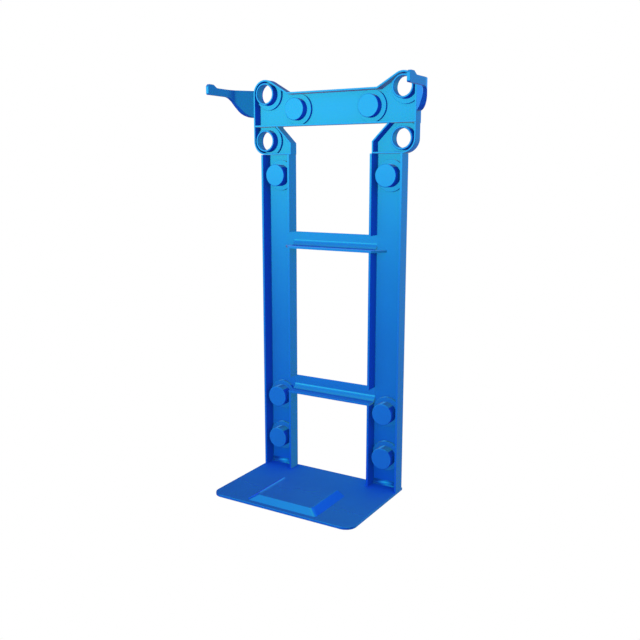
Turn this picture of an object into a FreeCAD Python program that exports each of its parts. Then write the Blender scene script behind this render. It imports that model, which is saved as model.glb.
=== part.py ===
"""Upright carrier frame: a foot plate, two channel uprights, two rungs, a top crossbar on two gussets,
four flanged bushes, eight bumper studs and two forward hook arms.

+Z is up and the front of the frame faces -Y. The origin is the centre of the foot plate's underside.
The back faces of the uprights, rungs, crossbar and gussets share one back plane, and depths are
measured forward from it. Right is +X, and the left pieces mirror the right ones.
"""

import FreeCAD
import Part
import Sketcher
import math
import os
from FreeCAD import Vector, Placement, Rotation

SIZES = {
    # overall
    "frame_width": 300.0,
    "plate_depth": 207.0,
    "plate_thickness": 4.8,
    "plate_corner": 21.0,
    # raised pad on the foot plate
    "pad_width": 150.0,
    "pad_length": 105.0,
    "pad_rise": 9.3,
    "pad_front_gap": 9.5,
    "pad_side_slope": 15.0,
    "pad_front_slope": 11.0,
    "pad_back_slope": 1.5,
    "pad_corner": 7.0,
    "pad_sheet": 2.5,
    # channel uprights
    "channel_width": 64.0,
    "channel_depth": 29.0,
    "channel_sheet": 4.0,
    "channel_bend": 5.0,
    # rungs
    "lower_rung_top": 197.0,
    "upper_rung_top": 487.0,
    "rung_height": 31.0,
    "rung_bend": 12.0,
    "rung_ear": 20.0,
    # crossbar and gussets, both pressed pans
    "pan_depth": 22.0,
    "pan_sheet": 3.0,
    "pan_bend": 3.6,
    "crossbar_bottom": 686.5,
    "crossbar_height": 62.0,
    "lobe_radius": 26.25,
    "lobe_slope": 30.0,
    "gusset_mouth": 117.0,
    # bushes
    "bush_spread": 289.5,
    "upper_bush_height": 747.3,
    "lower_bush_height": 660.0,
    "bush_outer": 20.5,
    "bush_bore": 17.0,
    "bush_back_bore": 20.0,
    "bush_proud": 1.0,
    # round flanges and washers
    "flange_radius": 29.0,
    "flange_thickness": 5.5,
    "seat_gap": 0.25,
    # bumper studs
    "stud_radius": 20.5,
    "stud_proud": 0.8,
    "stud_edge": 0.6,
    "bottom_stud_height": 66.0,
    "middle_stud_height": 153.5,
    "top_stud_height": 595.0,
    "crossbar_stud_spread": 156.0,
    # stud screws
    "screw_radius": 4.0,
    "screw_gap": 0.1,
    "screw_head": 7.0,
    "screw_head_height": 4.4,
    "screw_bite": 12.0,
    "hex_across": 5.0,
    "hex_depth": 2.6,
    "washer_radius": 8.0,
    "washer_thickness": 1.6,
    # splice plates
    "splice_sheet": 3.0,
    "splice_bottom": 681.0,
    "splice_top": 722.0,
    "splice_inner": 118.5,
    "splice_setback": 1.5,
    "splice_chamfer": 5.0,
    # hook arms
    "arm_sheet": 6.0,
    "arm_spread": 410.0,
    "arm_turn": 41.5,
    "arm_outer_bend": 44.5,
    "arm_outer_bend_front": 64.5,
    "arm_inner_bend": 36.0,
    "arm_inner_bend_front": 67.0,
    "arm_reach": 124.0,
    "arm_root_bottom": 704.5,
    "arm_strip_bottom": 741.0,
    "arm_top": 754.6,
    "arm_throat": 26.5,
    "arm_throat_slope": 52.0,
    "arm_throat_back": 15.5,
    "knob_rise": 5.4,
    "knob_length": 12.0,
    "knob_ramp": 10.0,
    "knob_corner": 4.0,
    "toe_corner": 1.8,
}

doc = FreeCAD.newDocument("carrier_frame")
sheet = doc.addObject("Spreadsheet::Sheet", "Sizes")
for row, (word, value) in enumerate(SIZES.items(), start=1):
    sheet.set(f"A{row}", word)
    sheet.set(f"B{row}", str(value))
    sheet.setAlias(f"B{row}", word)
doc.recompute()

SUBPARTS = []

# Expressions that several pieces share.
HALF = "Sizes.frame_width / 2"
BACK = "Sizes.plate_depth / 2"
INNER = "(Sizes.frame_width / 2 - Sizes.channel_width)"
STUD_X = "(Sizes.frame_width - Sizes.channel_width) / 2"
BUSH_X = "Sizes.bush_spread / 2"
PAN_HALF = "(Sizes.bush_spread / 2 + Sizes.lobe_radius)"
GUSSET_BOTTOM = "(Sizes.lower_bush_height - Sizes.lobe_radius)"
CROSSBAR_TOP = "(Sizes.crossbar_bottom + Sizes.crossbar_height)"
CROSSBAR_STUD_Z = "(Sizes.crossbar_bottom + Sizes.crossbar_height / 2)"


def value_of(expression):
    """The number that an expression on the sheet gives now."""
    result = sheet.evalExpression(str(expression))
    return float(getattr(result, "Value", result))


def bind(thing, **expressions):
    """Binds properties to expressions; a double underscore stands for a dot."""
    for prop, expression in expressions.items():
        thing.setExpression(prop.replace("__", "."), expression)


def keep(thing, label):
    """Marks an object as a sub-part under its own label."""
    thing.Label = label
    SUBPARTS.append(thing)
    return thing


def place(thing, x="0", forward="0", z="0"):
    """Places a primitive: x and z in the object's frame, forward from the back plane."""
    bind(thing, Placement__Base__x=x, Placement__Base__y=f"{BACK} - ({forward})", Placement__Base__z=z)
    return thing


# ---- sketches -------------------------------------------------------------------------------------

def set_on_plane(sketch, view, offset):
    """Attaches a sketch to a body's origin plane, or places a free one, at an offset along its normal.

    "front" has x to the right, y up and its normal forward from the back plane; "top" has x to the
    right, y to the back and its normal up; "side" has x to the back, y up and its normal to the right.
    """
    body = sketch.getParentGeoFeatureGroup()
    role, turn = {
        "front": ("XZ_Plane", Rotation(Vector(1, 0, 0), 90)),
        "top": ("XY_Plane", Rotation()),
        "side": ("YZ_Plane", Rotation(Vector(1, 1, 1), 120)),
    }[view]
    shift = f"{offset} - {BACK}" if view == "front" else offset
    if body is not None:
        plane = next(f for f in body.Origin.OriginFeatures if f.Role == role)
        sketch.AttachmentSupport = [(plane, "")]
        sketch.MapMode = "FlatFace"
        bind(sketch, AttachmentOffset__Base__z=shift)
        return
    sketch.Placement = Placement(Vector(), turn)
    if view == "front":
        bind(sketch, Placement__Base__y=f"-({shift})")
    elif view == "top":
        bind(sketch, Placement__Base__z=shift)
    else:
        bind(sketch, Placement__Base__x=shift)


def hold(sketch, index, point, axis, expression):
    """Fixes one coordinate of a sketch point to an expression."""
    kind = "DistanceX" if axis == "x" else "DistanceY"
    constraint = sketch.addConstraint(Sketcher.Constraint(kind, index, point, value_of(expression)))
    sketch.setExpression(f"Constraints[{constraint}]", expression)


def outline(sketch, corners):
    """Draws a closed outline through corners (x, y) or (x, y, radius, turn).

    A corner with a radius starts an arc to the next corner, turning left (+1) or right (-1).
    """
    points = [Vector(value_of(c[0]), value_of(c[1]), 0) for c in corners]
    for index, corner in enumerate(corners):
        start, end = points[index], points[(index + 1) % len(points)]
        if len(corner) == 2:
            sketch.addGeometry(Part.LineSegment(start, end), False)
            continue
        radius, turn = value_of(corner[2]), corner[3]
        chord = end - start
        rise = math.sqrt(max(radius ** 2 - (chord.Length / 2) ** 2, 0.0))
        side = Vector(-chord.y, chord.x, 0).normalize() * (rise * turn)
        centre = start + chord / 2 + side
        outward = (start + chord / 2 - centre).normalize() if rise > 1e-9 else -side
        middle = centre + outward * radius
        first, last = (start, end) if turn > 0 else (end, start)
        sketch.addGeometry(Part.Arc(first, middle, last), False)
    ends = []
    for index, corner in enumerate(corners):
        arc = sketch.Geometry[index]
        is_right_arc = len(corner) > 2 and corner[3] < 0
        ends.append((2, 1) if is_right_arc else (1, 2))
        if len(corner) > 2:
            constraint = sketch.addConstraint(Sketcher.Constraint("Radius", index, arc.Radius))
            sketch.setExpression(f"Constraints[{constraint}]", str(corner[2]))
    for index, corner in enumerate(corners):
        following = (index + 1) % len(corners)
        sketch.addConstraint(
            Sketcher.Constraint("Coincident", index, ends[index][1], following, ends[following][0]))
        hold(sketch, index, ends[index][0], "x", str(corner[0]))
        hold(sketch, index, ends[index][0], "y", str(corner[1]))


def circle(sketch, x, y, radius):
    """Adds a circle with its centre and radius bound."""
    centre = Vector(value_of(x), value_of(y), 0)
    index = sketch.addGeometry(Part.Circle(centre, Vector(0, 0, 1), value_of(radius)), False)
    hold(sketch, index, 3, "x", x)
    hold(sketch, index, 3, "y", y)
    constraint = sketch.addConstraint(Sketcher.Constraint("Radius", index, value_of(radius)))
    sketch.setExpression(f"Constraints[{constraint}]", radius)


# ---- bodies and features --------------------------------------------------------------------------

def new_body(label):
    return keep(doc.addObject("PartDesign::Body", label), label)


def draw(body, name, view, offset, corners=None, circles=()):
    """A sketch in a body, or a free sketch where body is None."""
    if body is None:
        sketch = doc.addObject("Sketcher::SketchObject", name)
    else:
        sketch = body.newObject("Sketcher::SketchObject", f"{body.Label}_{name}")
    set_on_plane(sketch, view, offset)
    if corners:
        outline(sketch, corners)
    for x, y, radius in circles:
        circle(sketch, x, y, radius)
    return sketch


def pad(body, sketch, length, both_ways=False):
    feature = body.newObject("PartDesign::Pad", f"{sketch.Name}_pad")
    feature.Profile = sketch
    bind(feature, Length=length)
    feature.Midplane = both_ways
    doc.recompute()
    return feature


def pocket(body, sketch, length):
    """Cuts along the sketch's own normal, and checks that something was cut."""
    before = body.Shape.Volume
    feature = body.newObject("PartDesign::Pocket", f"{sketch.Name}_pocket")
    feature.Profile = sketch
    feature.Reversed = True
    bind(feature, Length=length)
    doc.recompute()
    if body.Shape.Volume > before - 1.0:
        raise RuntimeError(f"{feature.Name} cuts nothing")
    return feature


def dress(body, kind, chosen, **expressions):
    """A fillet or chamfer on the body's edges that chosen accepts."""
    tip = body.Tip
    names = [f"Edge{i}" for i, edge in enumerate(tip.Shape.Edges, start=1) if chosen(edge)]
    if not names:
        raise RuntimeError(f"{body.Label}: no edges for its {kind}")
    feature = body.newObject(f"PartDesign::{kind}", f"{body.Label}_{kind}")
    feature.Base = (tip, names)
    bind(feature, **expressions)
    doc.recompute()
    return feature


def lies_on(edge_or_face, axis, level, slack=0.01):
    box = edge_or_face.BoundBox
    low, high = getattr(box, f"{axis}Min"), getattr(box, f"{axis}Max")
    return abs(low - level) < slack and abs(high - level) < slack


def mirrored(source, label):
    """The left twin of a right-hand piece."""
    twin = doc.addObject("Part::Mirroring", label)
    twin.Source = source
    twin.Normal = Vector(1, 0, 0)
    return keep(twin, label)


# ---- foot plate and its raised pad -----------------------------------------------------------------

def make_foot_plate():
    """Flat steel plate with two rounded front corners; the uprights stand on its back edge."""
    body = new_body("foot_plate")
    corner = "Sizes.plate_corner"
    front, back = f"-({BACK})", BACK
    corners = [
        (f"-({HALF})", back),
        (f"-({HALF})", f"{front} + {corner}", corner, 1),
        (f"-({HALF}) + {corner}", front),
        (f"{HALF} - {corner}", front, corner, 1),
        (HALF, f"{front} + {corner}"),
        (HALF, back),
    ]
    pad(body, draw(body, "outline", "top", "0", corners), "Sizes.plate_thickness")
    top = value_of("Sizes.plate_thickness")
    dress(body, "Fillet", lambda e: lies_on(e, "Z", top) or lies_on(e, "Z", 0), Radius="0.5 mm")


def make_raised_pad():
    """Pressed cap with sloped sides and an open underside, welded near the plate's front edge."""
    front = f"-({BACK}) + Sizes.pad_front_gap"

    def rectangle(inset, shrink):
        """The cap's outline at its foot (shrink 0) or at its top (shrink 1), moved in by inset."""
        half = f"(Sizes.pad_width / 2 - {shrink} * Sizes.pad_side_slope - {inset})"
        low = f"({front} + {shrink} * Sizes.pad_front_slope + {inset})"
        high = f"({front} + Sizes.pad_length - {shrink} * Sizes.pad_back_slope - {inset})"
        radius = f"(Sizes.pad_corner - {inset})"
        return [
            (f"-{half}", high),
            (f"-{half}", f"{low} + {radius}", radius, 1),
            (f"-{half} + {radius}", low),
            (f"{half} - {radius}", low, radius, 1),
            (half, f"{low} + {radius}"),
            (half, high),
        ]

    def loft(name, inset, rise):
        foot = draw(None, f"pad_{name}_foot", "top", "Sizes.plate_thickness", rectangle(inset, 0))
        top = draw(None, f"pad_{name}_top", "top", f"Sizes.plate_thickness + {rise}", rectangle(inset, 1))
        shell = doc.addObject("Part::Loft", f"pad_{name}")
        shell.Sections = [foot, top]
        shell.Solid = True
        shell.Ruled = True
        return shell

    cap = doc.addObject("Part::Cut", "raised_pad")
    cap.Base = loft("outside", "0", "Sizes.pad_rise")
    cap.Tool = loft("inside", "Sizes.pad_sheet", "(Sizes.pad_rise - Sizes.pad_sheet)")
    keep(cap, "raised_pad")


# ---- uprights --------------------------------------------------------------------------------------

def make_uprights():
    """Pressed channels, open to the front, with the inner flange cut away where a rung comes in."""
    body = new_body("right_upright")
    bend, wall = "Sizes.channel_bend", "Sizes.channel_sheet"
    back, front = BACK, f"({BACK} - Sizes.channel_depth)"
    tight = f"({bend} - {wall})"
    corners = [
        (f"{HALF} - {bend}", back),
        (f"{INNER} + {bend}", back, bend, 1),
        (INNER, f"{back} - {bend}"),
        (INNER, front),
        (f"{INNER} + {wall}", front),
        (f"{INNER} + {wall}", f"{back} - {bend}", tight, -1),
        (f"{INNER} + {bend}", f"{back} - {wall}"),
        (f"{HALF} - {bend}", f"{back} - {wall}", tight, -1),
        (f"{HALF} - {wall}", f"{back} - {bend}"),
        (f"{HALF} - {wall}", front),
        (HALF, front),
        (HALF, f"{back} - {bend}", bend, 1),
    ]
    section = draw(body, "section", "top", "Sizes.plate_thickness", corners)
    pad(body, section, f"{GUSSET_BOTTOM} - Sizes.plate_thickness")
    behind, rung_outer = f"({back} + 1)", f"(Sizes.rung_bend + {wall})"
    for rung in ("lower", "upper"):
        low, high = f"(Sizes.{rung}_rung_top - Sizes.rung_height)", f"Sizes.{rung}_rung_top"
        notch = [
            (behind, high),
            (f"{front} - 1", high),
            (f"{front} - 1", low),
            (f"{back} - {rung_outer}", low, rung_outer, 1),
            (back, f"{low} + {rung_outer}"),
            (behind, f"{low} + {rung_outer}"),
        ]
        pocket(body, draw(body, f"{rung}_notch", "side", f"{INNER} - 1", notch), f"{bend} + 1")
    holes = [(STUD_X, f"Sizes.{level}_stud_height", "Sizes.screw_radius + Sizes.screw_gap")
             for level in ("bottom", "middle", "top")]
    pocket(body, draw(body, "holes", "front", "-1", circles=holes), "Sizes.channel_sheet + 2")
    mirrored(body, "left_upright")


# ---- rungs -----------------------------------------------------------------------------------------

def make_rung(level, has_ears):
    """Angle section butted to the channel webs, its bottom flange flush with the channel fronts.

    The upper rung's flange also runs on into each channel as a tapered ear on the web.
    """
    body = new_body(f"{level}_rung")
    bottom, wall = f"(Sizes.{level}_rung_top - Sizes.rung_height)", "Sizes.channel_sheet"
    front, web = f"({BACK} - Sizes.channel_depth)", f"({BACK} - {wall})"
    bend, outer = "Sizes.rung_bend", f"(Sizes.rung_bend + {wall})"
    section = [
        (BACK, f"Sizes.{level}_rung_top"),
        (web, f"Sizes.{level}_rung_top"),
        (web, f"{bottom} + {outer}", bend, -1),
        (f"{BACK} - {outer}", f"{bottom} + {wall}"),
        (front, f"{bottom} + {wall}"),
        (front, bottom),
        (f"{BACK} - {outer}", bottom, outer, 1),
        (BACK, f"{bottom} + {outer}"),
    ]
    half = f"({INNER} + Sizes.channel_bend)"
    pad(body, draw(body, "section", "side", "0", section), f"2 * {half}", both_ways=True)
    if not has_ears:
        return
    for side in ("", "-"):
        root = f"{side}({half} - 10)"
        ear = [
            (root, front),
            (f"{side}{half}", front),
            (f"{side}({half} + Sizes.rung_ear)", web),
            (f"{side}{half}", web),
            (f"{side}{half}", f"{BACK} - {outer} - 1"),
            (root, f"{BACK} - {outer} - 1"),
        ]
        name = "left_ear" if side else "right_ear"
        pad(body, draw(body, name, "top", bottom, ear), wall)


# ---- crossbar and gussets --------------------------------------------------------------------------

def lobe_point(radius, angle):
    """A point on a circle round the upper right bush, at an angle in degrees."""
    return (f"{BUSH_X} + {radius} * cos({angle} * 1 deg)",
            f"Sizes.upper_bush_height + {radius} * sin({angle} * 1 deg)")


def make_pan(body, corners_at, is_bent):
    """A pan pressed from one sheet: its outline, rounded at the back, hollowed from the front."""
    wall = "Sizes.pan_sheet"
    pad(body, draw(body, "outline", "front", "0", corners_at("0")), "Sizes.pan_depth")
    back = value_of(BACK)
    dress(body, "Fillet", lambda e: lies_on(e, "Y", back) and is_bent(e), Radius="Sizes.pan_bend")
    pocket(body, draw(body, "inside", "front", wall, corners_at(wall)), f"Sizes.pan_depth - {wall} + 1")


def make_crossbar():
    """Pressed pan whose ends rise into round lobes over the upper bushes."""
    body = new_body("crossbar")

    def corners_at(inset):
        lobe, half = f"(Sizes.lobe_radius - {inset})", f"({PAN_HALF} - {inset})"
        top, bottom = f"({CROSSBAR_TOP} - {inset})", f"(Sizes.crossbar_bottom + {inset})"
        over_x, over_z = lobe_point(lobe, "(90 + Sizes.lobe_slope)")
        shoulder = f"({over_x} - ({over_z} - {top}) / tan(Sizes.lobe_slope * 1 deg))"
        return [
            (f"-{half}", bottom),
            (half, bottom),
            (half, "Sizes.upper_bush_height", lobe, 1),
            (over_x, over_z),
            (shoulder, top),
            (f"-{shoulder}", top),
            (f"-({over_x})", over_z, lobe, 1),
            (f"-{half}", "Sizes.upper_bush_height"),
        ]

    make_pan(body, corners_at, lambda e: True)
    bush_holes = [(side + BUSH_X, "Sizes.upper_bush_height", "Sizes.bush_back_bore") for side in ("", "-")]
    screw_holes = [(f"{side}Sizes.crossbar_stud_spread / 2", CROSSBAR_STUD_Z,
                    "Sizes.screw_radius + Sizes.screw_gap") for side in ("", "-")]
    holes = bush_holes + screw_holes
    pocket(body, draw(body, "holes", "front", "-1", circles=holes), "Sizes.pan_sheet + 2")


def make_gussets():
    """Pressed pans between the crossbar and the channels, open at the top under the crossbar."""
    body = new_body("right_gusset")
    top = "Sizes.crossbar_bottom"

    def corners_at(inset):
        lobe, half = f"(Sizes.lobe_radius - {inset})", f"({PAN_HALF} - {inset})"
        inner, bottom = f"({INNER} + {inset})", f"({GUSSET_BOTTOM} + {inset})"
        open_top = top if inset == "0" else f"({top} + 1)"
        mouth = f"(Sizes.gusset_mouth + {inset} * sqrt(2) + {open_top} - {top})"
        return [
            (inner, bottom),
            (BUSH_X, bottom, lobe, 1),
            (half, "Sizes.lower_bush_height"),
            (half, open_top),
            (mouth, open_top),
            (inner, f"{open_top} - ({mouth} - {inner})"),
        ]

    level = value_of(top)
    make_pan(body, corners_at, lambda e: not lies_on(e, "Z", level))
    bush_hole = [(BUSH_X, "Sizes.lower_bush_height", "Sizes.bush_back_bore")]
    pocket(body, draw(body, "hole", "front", "-1", circles=bush_hole), "Sizes.pan_sheet + 2")
    mirrored(body, "left_gusset")


def make_splice_plates():
    """Flat plates welded behind the joint between the crossbar and each gusset."""
    body = new_body("right_splice_plate")
    outer = f"({PAN_HALF} - Sizes.splice_setback)"
    corners = [
        ("Sizes.splice_inner", "Sizes.splice_bottom"),
        (f"{outer} - Sizes.splice_chamfer", "Sizes.splice_bottom"),
        (outer, "Sizes.splice_bottom + Sizes.splice_chamfer"),
        (outer, "Sizes.splice_top"),
        ("Sizes.splice_inner", "Sizes.splice_top"),
    ]
    sketch = draw(body, "outline", "front", "-Sizes.splice_sheet", corners)
    pad(body, sketch, "Sizes.splice_sheet")
    mirrored(body, "left_splice_plate")


# ---- bushes ----------------------------------------------------------------------------------------

def make_bush(level, flange):
    """Turned bush whose flange sits on the pan's web, trimmed where the pan's rim is in the way."""
    body = new_body(f"{level}_right_bush")
    height = f"Sizes.{level}_bush_height"
    web = "Sizes.pan_sheet"
    shoulder = f"{web} + Sizes.flange_thickness"
    tube = f"Sizes.pan_depth + Sizes.bush_proud - {web}"
    corners = [(f"{BUSH_X} + ({x})", f"{height} + ({z})", *arc) for x, z, *arc in flange]
    pad(body, draw(body, "flange", "front", web, corners), "Sizes.flange_thickness")
    round_tube = [(BUSH_X, height, "Sizes.bush_outer")]
    pad(body, draw(body, "tube", "front", web, circles=round_tube), tube)
    pocket(body, draw(body, "bore", "front", "0", circles=[(BUSH_X, height, "Sizes.bush_bore")]),
           "Sizes.pan_depth + 10")
    back_bore = [(BUSH_X, height, "Sizes.bush_back_bore")]
    pocket(body, draw(body, "back_bore", "front", "0", circles=back_bore), shoulder)
    front = value_of(f"{BACK} - Sizes.pan_depth - Sizes.bush_proud")
    dress(body, "Chamfer", lambda e: lies_on(e, "Y", front), Size="Sizes.stud_edge")
    mirrored(body, f"{level}_left_bush")


def make_bushes():
    """Two bushes under the crossbar's lobes and two in the gussets."""
    ring = "Sizes.flange_radius"
    seat = f"min(Sizes.lobe_radius - Sizes.pan_sheet - Sizes.seat_gap; 0.98 * {ring})"
    side = f"sqrt({ring} ^ 2 - {seat} ^ 2)"
    slope = "(90 + Sizes.lobe_slope) * 1 deg"
    over = f"({seat} * cos({slope}))", f"({seat} * sin({slope}))"
    upper = [
        (seat, f"-{side}"),
        (seat, "0", seat, 1),
        over,
        (f"{over[0]} - {side} * sin({slope})", f"{over[1]} + {side} * cos({slope})", ring, 1),
        (f"-{ring}", "0", ring, 1),
    ]
    mouth = f"min(Sizes.crossbar_bottom - Sizes.lower_bush_height - Sizes.seat_gap; 0.98 * {ring})"
    wide = f"sqrt({ring} ^ 2 - {mouth} ^ 2)"
    lower = [
        (seat, "0"),
        (seat, side, ring, 1),
        (wide, mouth),
        (f"-{wide}", mouth, ring, 1),
        (f"-{ring}", "0", ring, 1),
        (f"-{side}", f"-{seat}"),
        ("0", f"-{seat}", seat, 1),
    ]
    make_bush("upper", upper)
    make_bush("lower", lower)


# ---- bumper studs, their washers and the screws ----------------------------------------------------

STUDS = {
    # place: (x, height, sheet of the web, front of the piece it stands in, axis of the washer's flats)
    "bottom": (STUD_X, "Sizes.bottom_stud_height", "Sizes.channel_sheet", "Sizes.channel_depth", "x"),
    "middle": (STUD_X, "Sizes.middle_stud_height", "Sizes.channel_sheet", "Sizes.channel_depth", "x"),
    "top": (STUD_X, "Sizes.top_stud_height", "Sizes.channel_sheet", "Sizes.channel_depth", "x"),
    "crossbar": ("Sizes.crossbar_stud_spread / 2", CROSSBAR_STUD_Z, "Sizes.pan_sheet",
                 "(Sizes.pan_depth + Sizes.bush_proud - Sizes.stud_proud)", "z"),
}


def make_washer(level):
    """Thick washer under a stud, with two flats that clear the rims on either side."""
    x, z, sheet_size, _, flats = STUDS[level]
    body = new_body(f"right_{level}_washer")
    ring = "Sizes.flange_radius"
    if flats == "x":
        room = ("(Sizes.channel_width - 2 * Sizes.channel_sheet) / 2"
                " - max(Sizes.seat_gap; Sizes.channel_bend - Sizes.channel_sheet)")
    else:
        room = "(Sizes.crossbar_height - 2 * Sizes.pan_sheet) / 2 - Sizes.seat_gap"
    flat = f"min({room}; 0.98 * {ring})"
    rest = f"sqrt({ring} ^ 2 - {flat} ^ 2)"
    if flats == "x":
        points = [(flat, f"-{rest}"), (flat, rest, ring, 1),
                  (f"-{flat}", rest), (f"-{flat}", f"-{rest}", ring, 1)]
    else:
        points = [(rest, f"-{flat}", ring, 1), (rest, flat),
                  (f"-{rest}", flat, ring, 1), (f"-{rest}", f"-{flat}")]
    corners = [(f"{x} + ({px})", f"{z} + ({pz})", *arc) for px, pz, *arc in points]
    hole = [(x, z, "Sizes.screw_radius + Sizes.screw_gap")]
    pad(body, draw(body, "outline", "front", sheet_size, corners, hole), "Sizes.flange_thickness")
    mirrored(body, f"left_{level}_washer")


def make_stud(level):
    """Round bumper stud with a blind tapped hole in its back."""
    x, z, sheet_size, rim, _ = STUDS[level]
    body = new_body(f"right_{level}_stud")
    base = f"{sheet_size} + Sizes.flange_thickness"
    face = f"{rim} + Sizes.stud_proud"
    pad(body, draw(body, "round", "front", base, circles=[(x, z, "Sizes.stud_radius")]), f"{face} - ({base})")
    front = value_of(f"{BACK} - ({face})")
    dress(body, "Chamfer", lambda e: lies_on(e, "Y", front), Size="Sizes.stud_edge")
    hole = [(x, z, "Sizes.screw_radius + Sizes.screw_gap")]
    pocket(body, draw(body, "hole", "front", f"{base} - 1", circles=hole), "Sizes.screw_bite + 2")
    mirrored(body, f"left_{level}_stud")


def cylinder(name, x, forward, z, radius, height):
    """A cylinder that runs forward from a depth."""
    thing = doc.addObject("Part::Cylinder", name)
    thing.Placement = Placement(Vector(), Rotation(Vector(1, 0, 0), 90))
    bind(thing, Radius=radius, Height=height)
    return place(thing, x, forward, z)


def make_screws():
    """Button-head socket screws with plain washers, put in from behind through the webs."""
    screws, washers = [], []
    for level, (stud_x, z, sheet_size, _, _) in STUDS.items():
        for side in ("right", "left"):
            x = stud_x if side == "right" else f"-({stud_x})"
            tag = f"{side}_{level}"
            under = "-Sizes.washer_thickness"
            length = f"{sheet_size} + Sizes.flange_thickness + Sizes.washer_thickness + Sizes.screw_bite"
            shank = cylinder(f"{tag}_shank", x, under, z, "Sizes.screw_radius", length)
            head = doc.addObject("Part::Cone", f"{tag}_head")
            head.Placement = Placement(Vector(), Rotation(Vector(1, 0, 0), 90))
            bind(head, Radius1="Sizes.screw_head * 0.7", Radius2="Sizes.screw_head",
                 Height="Sizes.screw_head_height")
            place(head, x, f"{under} - Sizes.screw_head_height", z)
            whole = doc.addObject("Part::Fuse", f"{tag}_blank")
            whole.Base, whole.Tool = head, shank
            socket = doc.addObject("Part::Prism", f"{tag}_socket")
            socket.Polygon = 6
            socket.Placement = Placement(Vector(), Rotation(Vector(1, 0, 0), 90))
            bind(socket, Circumradius="Sizes.hex_across / sqrt(3)", Height="Sizes.hex_depth + 1")
            place(socket, x, f"{under} - Sizes.screw_head_height - 1", z)
            screw = doc.addObject("Part::Cut", f"{tag}_screw")
            screw.Base, screw.Tool = whole, socket
            screws.append(screw)
            disc = cylinder(f"{tag}_disc", x, under, z, "Sizes.washer_radius", "Sizes.washer_thickness")
            hole = cylinder(f"{tag}_disc_hole", x, f"{under} - 1", z, "Sizes.screw_radius + Sizes.screw_gap",
                            "Sizes.washer_thickness + 2")
            plain = doc.addObject("Part::Cut", f"{tag}_plain_washer")
            plain.Base, plain.Tool = disc, hole
            washers.append(plain)
    for label, links in (("stud_screws", screws), ("screw_washers", washers)):
        group = doc.addObject("Part::Compound", label)
        group.Links = links
        keep(group, label)


# ---- hook arms -------------------------------------------------------------------------------------

def make_arms():
    """Thick curved arms welded to the crossbar's ends, swept out and forward to a raised tip."""
    tip_x, turn = "Sizes.arm_spread / 2", "(Sizes.arm_turn * 1 deg)"

    def curve(x, bend, front):
        """Where the bend ends, and where the straight root meets the crossbar's end face."""
        end_x = f"({x} - {bend} * (1 - cos({turn})))"
        end_f = f"({front} - {bend} * sin({turn}))"
        root_f = f"({end_f} - ({end_x} - {PAN_HALF}) / tan({turn}))"
        return end_x, end_f, root_f

    outer_x, outer_f, outer_root = curve(tip_x, "Sizes.arm_outer_bend", "Sizes.arm_outer_bend_front")
    inner_tip = f"({tip_x} - Sizes.arm_sheet)"
    inner_x, inner_f, inner_root = curve(inner_tip, "Sizes.arm_inner_bend", "Sizes.arm_inner_bend_front")
    plan_points = [
        (PAN_HALF, outer_root),
        (PAN_HALF, inner_root),
        (inner_x, inner_f, "Sizes.arm_inner_bend", -1),
        (inner_tip, "Sizes.arm_inner_bend_front"),
        (inner_tip, "Sizes.arm_reach"),
        (tip_x, "Sizes.arm_reach"),
        (tip_x, "Sizes.arm_outer_bend_front", "Sizes.arm_outer_bend", 1),
        (outer_x, outer_f),
    ]
    steep, throat = "(Sizes.arm_throat_slope * 1 deg)", "Sizes.arm_throat"
    low, strip = "Sizes.arm_root_bottom", "Sizes.arm_strip_bottom"
    drop = f"{throat} * (1 - cos({steep}))"
    run = f"{throat} * sin({steep})"
    straight = f"(({strip} - {low} - 2 * {drop}) / sin({steep}))"
    back = "Sizes.arm_throat_back"
    knob, reach = "(Sizes.arm_top + Sizes.knob_rise)", "Sizes.arm_reach"
    side_points = [
        ("0", low),
        (back, low, throat, -1),
        (f"{back} + {run}", f"{low} + {drop}"),
        (f"{back} + {run} + {straight} * cos({steep})", f"{strip} - {drop}", throat, 1),
        (f"{back} + 2 * {run} + {straight} * cos({steep})", strip),
        (f"{reach} - Sizes.toe_corner", strip),
        (reach, f"{strip} + Sizes.toe_corner"),
        (reach, f"{knob} - Sizes.knob_corner"),
        (f"{reach} - Sizes.knob_corner", knob),
        (f"{reach} - Sizes.knob_corner - Sizes.knob_length", knob),
        (f"{reach} - Sizes.knob_corner - Sizes.knob_length - Sizes.knob_ramp", "Sizes.arm_top"),
        ("0", "Sizes.arm_top"),
    ]
    plan_corners = [(x, f"{BACK} - ({f})", *arc) for x, f, *arc in plan_points]
    side_corners = [(f"{BACK} - ({f})", z, *arc) for f, z, *arc in side_points]
    plan = draw(None, "arm_plan", "top", low, plan_corners)
    side = draw(None, "arm_side", "side", "0", side_corners)
    doc.recompute()
    swept = []
    for sketch, direction, length in (
        (plan, Vector(0, 0, 1), f"{knob} - {low}"),
        (side, Vector(1, 0, 0), f"{tip_x} + 5"),
    ):
        body = doc.addObject("Part::Extrusion", f"{sketch.Name}_swept")
        body.Base = sketch
        body.DirMode = "Custom"
        body.Dir = direction
        body.Solid = True
        bind(body, LengthFwd=length)
        swept.append(body)
    arm = doc.addObject("Part::Common", "right_hook_arm")
    arm.Base, arm.Tool = swept
    keep(arm, "right_hook_arm")
    mirrored(arm, "left_hook_arm")


make_foot_plate()
make_raised_pad()
make_uprights()
make_rung("lower", has_ears=False)
make_rung("upper", has_ears=True)
make_crossbar()
make_gussets()
make_splice_plates()
make_bushes()
for place_name in STUDS:
    make_washer(place_name)
    make_stud(place_name)
make_screws()
make_arms()
doc.recompute()

for thing in doc.Objects:
    if "Invalid" in thing.State or "Error" in thing.State:
        raise RuntimeError(f"{thing.Label} is {thing.State}")

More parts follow.
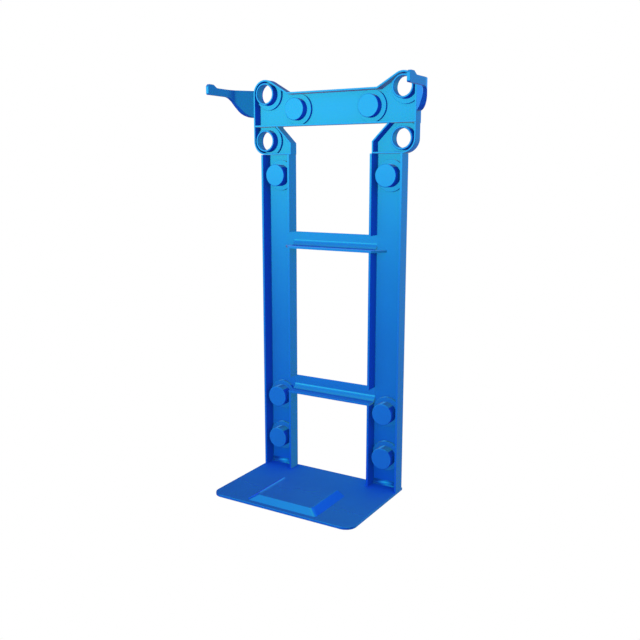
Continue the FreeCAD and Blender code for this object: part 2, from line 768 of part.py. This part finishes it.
os.makedirs("parts", exist_ok=True)
for thing in SUBPARTS:
    shape = thing.Shape
    if shape.isNull() or not shape.isValid():
        raise RuntimeError(f"{thing.Label} has no valid shape")
    shape.exportStep(f"parts/{thing.Label}.step")
    print(f"{thing.Label}: {len(shape.Solids)} solid(s), {shape.Volume / 1000:.1f} cm3")
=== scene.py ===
import math

import bmesh
import bpy
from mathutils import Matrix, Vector
from mathutils.bvhtree import BVHTree


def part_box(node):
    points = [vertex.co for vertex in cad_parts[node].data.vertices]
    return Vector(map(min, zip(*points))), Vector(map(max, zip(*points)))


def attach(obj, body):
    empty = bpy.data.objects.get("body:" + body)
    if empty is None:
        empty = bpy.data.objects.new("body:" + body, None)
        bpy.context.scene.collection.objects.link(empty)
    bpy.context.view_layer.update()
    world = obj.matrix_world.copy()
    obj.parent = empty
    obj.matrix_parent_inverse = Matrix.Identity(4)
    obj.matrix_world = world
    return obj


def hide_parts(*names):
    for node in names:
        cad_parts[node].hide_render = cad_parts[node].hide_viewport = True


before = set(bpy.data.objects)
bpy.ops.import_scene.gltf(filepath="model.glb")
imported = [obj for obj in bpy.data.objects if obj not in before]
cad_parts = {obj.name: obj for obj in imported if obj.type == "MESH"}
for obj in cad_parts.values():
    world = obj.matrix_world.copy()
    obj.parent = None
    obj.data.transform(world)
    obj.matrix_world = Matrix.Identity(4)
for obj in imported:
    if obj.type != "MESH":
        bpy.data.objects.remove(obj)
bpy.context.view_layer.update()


# ---- Blue metallic paint -------------------------------------------------------------------------
# Every steel part of the frame is sprayed after welding: a deep blue pigment under bright cyan
# flake, baked glossy, with faint orange peel and slight cloudiness where the flake settled
# unevenly. Shade in hollows and in corners with other parts is painted in as darker pigment with
# less flake and lacquer, and the tops of small round parts keep a painted highlight.


class Socket:
    """A shader socket that can be used in arithmetic."""

    def __init__(self, tree, output):
        self.tree = tree
        self.output = output

    def maths(self, operation, other, swapped=False):
        first, second = (other, self) if swapped else (self, other)
        return self.tree.node("ShaderNodeMath", {"operation": operation}, {0: first, 1: second})

    def __add__(self, other):
        return self.maths("ADD", other)

    def __radd__(self, other):
        return self.maths("ADD", other, swapped=True)

    def __mul__(self, other):
        return self.maths("MULTIPLY", other)

    def __rmul__(self, other):
        return self.maths("MULTIPLY", other, swapped=True)

    def __pow__(self, other):
        return self.maths("POWER", other)


class Tree:
    """A node tree built through one method."""

    def __init__(self, owner):
        owner.use_nodes = True
        self.nodes = owner.node_tree.nodes
        self.links = owner.node_tree.links
        self.nodes.clear()

    def node(self, kind, settings=None, inputs=None, output=0):
        """Add a node. The "stops" setting fills a colour ramp; an input is a Socket or a value."""
        made = self.nodes.new(kind)
        for name, value in (settings or {}).items():
            if name == "stops":
                ramp = made.color_ramp
                while len(ramp.elements) < len(value):
                    ramp.elements.new(0.5)
                for element, (place, colour) in zip(ramp.elements, value):
                    element.position = place
                    element.color = (*colour, 1.0)
            else:
                setattr(made, name, value)
        for name, value in (inputs or {}).items():
            if isinstance(value, Socket):
                self.links.new(value.output, made.inputs[name])
            else:
                made.inputs[name].default_value = value
        return Socket(self, made.outputs[output])

    def noise(self, place, scale, detail, roughness):
        return self.node("ShaderNodeTexNoise", None,
                         {"Vector": place, "Scale": scale, "Detail": detail,
                          "Roughness": roughness})

    def mix_colours(self, factor, first, second):
        """A mix of two colours, which are the node's sockets 6 and 7 and its output 2."""
        return self.node("ShaderNodeMix", {"data_type": "RGBA"},
                         {0: factor, 6: first, 7: second}, output=2)

    def finish(self, kind, shader):
        self.links.new(shader.output, self.nodes.new(kind).inputs["Surface"])


def blue_paint(name, open_share=0.55, shaded_share=0.10, roughness=0.16):
    """Pigment under flake, with painted shade: the attribute read here is 1 on open faces and 0 on
    faces given painted shade, where the pigment is darker and the flake and lacquer thinner.
    """
    material = bpy.data.materials.new(name)
    tree = Tree(material)
    painted_light = tree.node("ShaderNodeAttribute", {"attribute_name": "flake_cover"}, output="Fac")
    # Painted shade: faces with a low value take less of the bright flake.
    flake_share = shaded_share + (open_share - shaded_share) * painted_light
    place = tree.node("ShaderNodeTexCoord", output="Object")
    cloud = tree.noise(place, 9.0, 3.0, 0.5)
    flake = tree.node("ShaderNodeTexVoronoi", None, {"Vector": place, "Scale": 1900.0})
    peel = tree.noise(place, 420.0, 2.0, 0.4)
    bump = tree.node("ShaderNodeBump", None,
                     {"Height": peel, "Strength": 0.03, "Distance": 0.0004})
    open_pigment = tree.mix_colours(cloud, (0.0065, 0.019, 0.77, 1.0), (0.0075, 0.027, 0.84, 1.0))
    # Painted shade: the pigment turns a deeper blue on shaded faces.
    pigment_with_painted_shade = tree.mix_colours(painted_light ** 0.3, (0.006, 0.026, 0.56, 1.0), open_pigment)
    flake_colour = tree.mix_colours(cloud, (0.004, 0.86, 0.90, 1.0), (0.006, 0.95, 0.99, 1.0))
    # Painted shade: the lacquer thins out on shaded faces.
    lacquer = {"Coat Weight": 0.62 * painted_light ** 3.0, "Coat Roughness": 0.10}
    pigment = tree.node("ShaderNodeBsdfPrincipled", None,
                        {"Base Color": pigment_with_painted_shade, "Roughness": 0.5,
                         "Specular IOR Level": 0.0, "Normal": bump, **lacquer})
    shine = tree.node("ShaderNodeBsdfPrincipled", None,
                      {"Base Color": flake_colour, "Metallic": 1.0,
                       "Specular Tint": (0.30, 0.78, 1.0, 1.0),
                       "Roughness": roughness + 0.05 * cloud + 0.04 * flake,
                       "Normal": bump, **lacquer})
    both = tree.node("ShaderNodeMixShader", None, {0: flake_share, 1: pigment, 2: shine})
    tree.finish("ShaderNodeOutputMaterial", both)
    return material


paint = blue_paint("blue_paint_gloss")


# How far apart the walls of a pan, and any other walls, can stand and still put painted shade on
# each other, and the area above which a face gets no painted shade. The lifts start a ray off its
# face.
pan_reach = 0.4
wall_reach = 0.062
wide_face = 0.02
face_lift = 0.0003
corner_lift = 0.0005
corner_inset = 0.05
# Flake on the faces that are given one by one: the tops of studs, washers and bushes keep nearly
# full flake as a painted highlight beside their shaded rims, and the rungs' flanges, the pad's side
# slopes and the welds get painted shade as less flake and lacquer.
small_top_painted_highlight = 0.9
rung_flange_painted_shade = 0.7
pad_slope_painted_shade = 0.38
weld_painted_shade = 0.7
small_rounds = ("_stud", "_washer", "_bush")
# Rays that measure how open a point is to a neighbouring part, how strongly painted shade takes
# flake away where it isn't open, and the distance between the cuts that carry the result.
shade_ray_reach = 0.25
shade_ray_count = 160
painted_shade_strength = 1.25
golden_angle = 2.399963
shade_cut_step = 0.012
# Folds over edge_angle get a small round. Faces within flat_angle of each other become one face,
# and corners within merge_distance one corner.
edge_radius = 0.0004
edge_angle = math.radians(35)
flat_angle = math.radians(0.6)
merge_distance = 0.00001


def steel_surface(node_names):
    """A tree of the surfaces of some CAD nodes, to cast rays at."""
    surface = bmesh.new()
    for name in node_names:
        surface.from_mesh(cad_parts[name].data)
    found = BVHTree.FromBMesh(surface)
    surface.free()
    return found


all_steel = steel_surface(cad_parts)
plate_steel = steel_surface(["foot_plate"])
upright_steel = steel_surface(["left_upright", "right_upright"])
corner_neighbours = {"foot_plate": upright_steel, "raised_pad": upright_steel,
                     "left_upright": plate_steel, "right_upright": plate_steel}


def gets_painted_shade(face, name, middle):
    """Whether a face gets painted shade. On studs, washers and bushes that is the rim away from the
    part's middle, except its top. Elsewhere it is a face turned to the middle that looks straight
    at a wall close by. Webs, wide faces and the arms get none."""
    if abs(face.normal.y) > 0.8 or face.calc_area() > wide_face or "arm" in name:
        return False
    centre = face.calc_center_median()
    outwards = (centre.x - middle.x) * face.normal.x + (centre.z - middle.z) * face.normal.z
    if name.endswith(small_rounds):
        return face.normal.z < 0.75 and outwards > 0
    start = centre + face.normal * face_lift
    reach = pan_reach if name.endswith(("crossbar", "_gusset")) else wall_reach
    facing = all_steel.ray_cast(start, face.normal, reach)[1]
    return facing is not None and facing.dot(face.normal) < 0 and outwards < 0


def flake_with_painted_light(face, name, middle):
    """The flake a face takes, from 0 to 1, with painted shade and painted highlight in it."""
    if name.endswith("_weld"):
        return weld_painted_shade
    if name == "raised_pad" and abs(face.normal.x) > 0.3:
        return pad_slope_painted_shade
    if name.endswith("_rung") and face.normal.z > 0.9:
        return rung_flange_painted_shade
    if gets_painted_shade(face, name, middle):
        return 0.0
    if name.endswith(small_rounds) and face.normal.z > 0.5:
        return small_top_painted_highlight
    return 1.0


def mark_painted_light(mesh, name):
    """Write each face's flake, with its painted shade and painted highlight, to the attribute the
    paint reads.
    """
    painted_light = mesh.loops.layers.float.new("flake_cover")
    middle = sum((vert.co for vert in mesh.verts), Vector()) / len(mesh.verts)
    for face in mesh.faces:
        face.normal_update()
        share = flake_with_painted_light(face, name, middle)
        for loop in face.loops:
            loop[painted_light] = share


def open_to_neighbours(point, normal, neighbours):
    """How much of the space in front of a point is free of the neighbouring part, from 0 to 1."""
    across = normal.orthogonal().normalized()
    up = normal.cross(across)
    blocked = 0
    for number in range(shade_ray_count):
        turn = number * golden_angle
        spread = math.sqrt((number + 0.5) / shade_ray_count)
        ray = (across * spread * math.cos(turn) + up * spread * math.sin(turn)
               + normal * math.sqrt(1 - spread ** 2))
        if neighbours.ray_cast(point, ray, shade_ray_reach)[0] is not None:
            blocked += 1
    return 1 - blocked / shade_ray_count


def paint_shade_near(mesh, neighbours, low, high, axes):
    """Cut the faces small, and paint shade towards the corner with a neighbouring part by taking
    flake away.
    """
    for axis in axes:
        direction = Vector([1.0 if number == axis else 0.0 for number in range(3)])
        for cut in range(1, int((high[axis] - low[axis]) / shade_cut_step)):
            bmesh.ops.bisect_plane(mesh, geom=mesh.verts[:] + mesh.edges[:] + mesh.faces[:],
                                   dist=merge_distance, plane_no=direction,
                                   plane_co=Vector(low) + direction * cut * shade_cut_step)
    painted_light = mesh.loops.layers.float["flake_cover"]
    known = {}
    for face in mesh.faces:
        if abs(face.normal.x) > 0.5:
            continue
        centre = face.calc_center_median()
        for loop in face.loops:
            key = (loop.vert, tuple(round(part, 1) for part in face.normal))
            if key not in known:
                point = loop.vert.co.lerp(centre, corner_inset) + face.normal * corner_lift
                hidden = 1 - open_to_neighbours(point, face.normal, neighbours)
                known[key] = max(0.0, 1 - painted_shade_strength * hidden)
            loop[painted_light] *= known[key]


def add_painted(name, data):
    """Put a painted mesh in the scene. Painted pieces reflect the room and not each other."""
    piece = bpy.data.objects.new(name, data)
    bpy.context.collection.objects.link(piece)
    data.materials.clear()
    data.materials.append(paint)
    piece.visible_glossy = False
    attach(piece, "root")
    return piece


def painted_copy(node_name):
    """The steel part with its edges broken by a small round, as they are before painting."""
    mesh = bmesh.new()
    mesh.from_mesh(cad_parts[node_name].data)
    bmesh.ops.remove_doubles(mesh, verts=mesh.verts, dist=merge_distance)
    bmesh.ops.dissolve_limit(mesh, angle_limit=flat_angle, verts=mesh.verts, edges=mesh.edges)
    sharp = [edge for edge in mesh.edges
             if edge.is_manifold and edge.calc_face_angle() > edge_angle]
    bmesh.ops.bevel(mesh, geom=sharp, offset=edge_radius, segments=2, profile=0.5,
                    affect="EDGES", clamp_overlap=True, material=-1)
    # Painted shade and painted highlight go onto the faces here.
    mark_painted_light(mesh, node_name)
    # Painted shade deepens towards the corners where the plate, the pad and the channels meet.
    if node_name in corner_neighbours:
        low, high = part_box(node_name)
        axes = (2,) if "upright" in node_name else (0, 1)
        paint_shade_near(mesh, corner_neighbours[node_name], low, high, axes)
    data = bpy.data.meshes.new(f"{node_name}_steel")
    mesh.to_mesh(data)
    mesh.free()
    data.shade_smooth()
    piece = add_painted(f"{node_name}_steel", data)
    weighted = piece.modifiers.new("flat_faces", "WEIGHTED_NORMAL")
    weighted.keep_sharp = True
    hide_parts(node_name)


zinc_nodes = ("stud_screws", "screw_washers")
for node_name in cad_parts:
    if node_name not in zinc_nodes:
        painted_copy(node_name)


# ---- Screws and plain washers --------------------------------------------------------------------
# Button-head socket screws and plain washers hold the studs from behind. They are zinc plated and
# go in after painting, so they stay bright, with a fine turned grain and a little dullness.

zinc = bpy.data.materials.new("zinc_plate")
zinc_tree = Tree(zinc)
zinc_place = zinc_tree.node("ShaderNodeTexCoord", output="Object")
zinc_grain = zinc_tree.noise(zinc_place, 600.0, 4.0, 0.6)
zinc_bump = zinc_tree.node("ShaderNodeBump", None,
                           {"Height": zinc_grain, "Strength": 0.08, "Distance": 0.0003})
zinc_tree.finish("ShaderNodeOutputMaterial", zinc_tree.node(
    "ShaderNodeBsdfPrincipled", None,
    {"Base Color": (0.62, 0.63, 0.65, 1.0), "Metallic": 1.0,
     "Roughness": 0.24 + 0.16 * zinc_grain, "Normal": zinc_bump}))
for node_name in zinc_nodes:
    for material_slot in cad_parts[node_name].material_slots:
        material_slot.material = zinc


# ---- Welds at the foot of the channels -----------------------------------------------------------
# Each channel's web is welded to the plate inside the channel with a hollow fillet.

channel_wall = 0.004
weld_leg = 0.005
weld_rise = 0.009
weld_steps = 10


def corner_fillet(name, start, end, leg, rise, into):
    """A concave fillet along a line, with one leg along the floor towards into and one up."""
    mesh = bmesh.new()
    along = Vector(end) - Vector(start)
    outwards = Vector(into).normalized()
    profile = [mesh.verts.new(Vector(start))]
    for step in range(weld_steps + 1):
        angle = math.pi / 2 * step / weld_steps
        reach = leg * (1 - math.sin(angle))
        height = rise * (1 - math.cos(angle))
        profile.append(mesh.verts.new(Vector(start) + outwards * reach + Vector((0, 0, height))))
    face = mesh.faces.new(profile)
    made = bmesh.ops.extrude_face_region(mesh, geom=[face])
    moved = [part for part in made["geom"] if isinstance(part, bmesh.types.BMVert)]
    bmesh.ops.translate(mesh, verts=moved, vec=along)
    bmesh.ops.recalc_face_normals(mesh, faces=mesh.faces)
    # The weld takes its painted shade here.
    mark_painted_light(mesh, name)
    data = bpy.data.meshes.new(name)
    mesh.to_mesh(data)
    mesh.free()
    smooth_area = along.length * 0.002
    for polygon in data.polygons:
        polygon.use_smooth = polygon.area < smooth_area
    add_painted(name, data)


for side in ("left", "right"):
    low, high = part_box(f"{side}_upright")
    web_front = high[1] - channel_wall
    corner_fillet(f"{side}_foot_weld", (low[0] + channel_wall, web_front, low[2]),
                  (high[0] - channel_wall, web_front, low[2]), weld_leg, weld_rise, (0, -1, 0))


# ---- Floor, light and camera ---------------------------------------------------------------------
# A plain white floor under soft studio light that is brightest from the front left. The camera
# stands in front of the frame and to its right, a little below its top.

white = (1.0, 1.0, 1.0, 1.0)
floor_mesh = bmesh.new()
bmesh.ops.create_grid(floor_mesh, x_segments=1, y_segments=1, size=6.0)
floor_data = bpy.data.meshes.new("floor")
floor_mesh.to_mesh(floor_data)
floor_mesh.free()
floor = bpy.data.objects.new("floor", floor_data)
bpy.context.collection.objects.link(floor)
floor.location.z = -0.0002
floor.visible_glossy = False
floor_paint = bpy.data.materials.new("floor_white")
floor_tree = Tree(floor_paint)
floor_tree.finish("ShaderNodeOutputMaterial", floor_tree.node(
    "ShaderNodeMixShader", None,
    {0: floor_tree.node("ShaderNodeLightPath", output="Is Camera Ray"),
     1: floor_tree.node("ShaderNodeBsdfDiffuse", None, {"Color": (0.80, 0.80, 0.80, 1.0)}),
     2: floor_tree.node("ShaderNodeEmission", None, {"Color": white, "Strength": 1.0})}))
floor_data.materials.append(floor_paint)

world = bpy.data.worlds.new("studio")
bpy.context.scene.world = world
sky = Tree(world)
look = sky.node("ShaderNodeTexCoord", output="Generated")


def towards(direction):
    """How far a ray of the sky points in a direction: 1 straight at it, 0 away from it."""
    facing = sky.node("ShaderNodeVectorMath", {"operation": "DOT_PRODUCT"},
                      {0: look, 1: Vector(direction).normalized()}, output="Value")
    return facing * 0.5 + 0.5


def brightness(value, stops):
    """A ramp from places on the value to brightness."""
    greys = [(place, (grey, grey, grey)) for place, grey in stops]
    return sky.node("ShaderNodeValToRGB", {"stops": greys}, {0: value})


def background(colour, strength):
    return sky.node("ShaderNodeBackground", None, {"Color": colour, "Strength": strength})


def choose(ray_kind, others, these):
    """One shader for a kind of ray and another for the others."""
    return sky.node("ShaderNodeMixShader", None,
                    {0: sky.node("ShaderNodeLightPath", output=ray_kind), 1: others, 2: these})


height = towards((0, 0, 1))
rise = brightness(height, [
    (0.25, 0.16), (0.329, 0.22), (0.379, 0.22), (0.409, 0.24), (0.4417, 0.345), (0.4826, 0.54),
    (0.5087, 0.90), (0.5436, 1.0), (0.58, 0.80), (0.66, 0.52), (0.8, 0.45)])
from_front_left = brightness(towards((-0.6, -0.8, 0)), [
    (0.5, 0.0), (0.70, 0.04), (0.85, 0.25), (0.95, 0.60), (0.985, 0.77), (1.0, 1.0)])
from_back = brightness(towards((0.30, 0.95, 0)), [
    (0.70, 0.02), (0.80, 0.13), (0.90, 0.17), (0.975, 0.23), (0.992, 0.32)])
from_right = brightness(towards((0.90, -0.43, 0)), [(0.94, 0.0), (0.99, 0.20)])
from_left = brightness(towards((-0.84, 0.53, 0)), [(0.93, 0.0), (0.99, 0.12)])
from_above = brightness(height, [(0.72, 0.0), (0.84, 0.13), (0.97, 0.45)])
low_back = (brightness(towards((-0.50, 0.86, 0)), [(0.80, 0.0), (0.95, 0.58)])
            * brightness(height, [(0.50, 0.0), (0.52, 1.0), (0.62, 1.0), (0.65, 0.0)]))
key = 1.1 * rise * from_front_left
rest = 0.035 + from_back + from_right + from_left + from_above
sky_colour = sky.node("ShaderNodeCombineColor", None,
                      {"Red": key + rest + 0.1 * low_back,
                       "Green": key + rest + 0.75 * low_back,
                       "Blue": 1.1 * key ** 0.5 + rest + 1.5 * low_back})

# Gloss reflects the shaped sky, matt faces are lit by an even one, and the camera sees white.
lit = choose("Is Diffuse Ray", background(sky_colour, 1.0), background(white, 1.22))
sky.finish("ShaderNodeOutputWorld", choose("Is Camera Ray", lit, background(white, 1.0)))


def soft_light(name, place, target, size, watts):
    data = bpy.data.lights.new(name, "AREA")
    data.size = size
    data.energy = watts
    light = bpy.data.objects.new(name, data)
    light.location = place
    light.rotation_euler = (Vector(target) - Vector(place)).to_track_quat("-Z", "Y").to_euler()
    light.visible_glossy = False
    bpy.context.collection.objects.link(light)


frame_middle = (0, 0, 0.35)
soft_light("front_softbox", (-1.6, -2.4, 1.9), frame_middle, 2.2, 12)
soft_light("side_softbox", (2.4, -1.2, 1.2), frame_middle, 1.8, 6)

camera_data = bpy.data.cameras.new("camera")
camera_data.sensor_width = 36.0
camera_data.lens = 43.456
camera_data.clip_start = 0.01
camera = bpy.data.objects.new("camera", camera_data)
camera.location = (0.73347, -1.17816, 0.60292)
aim = Vector((-0.504739, 0.842267, -0.189263))
camera.rotation_euler = aim.to_track_quat("-Z", "Y").to_euler()
bpy.context.collection.objects.link(camera)
bpy.context.scene.camera = camera
bpy.context.scene.view_settings.view_transform = "Standard"
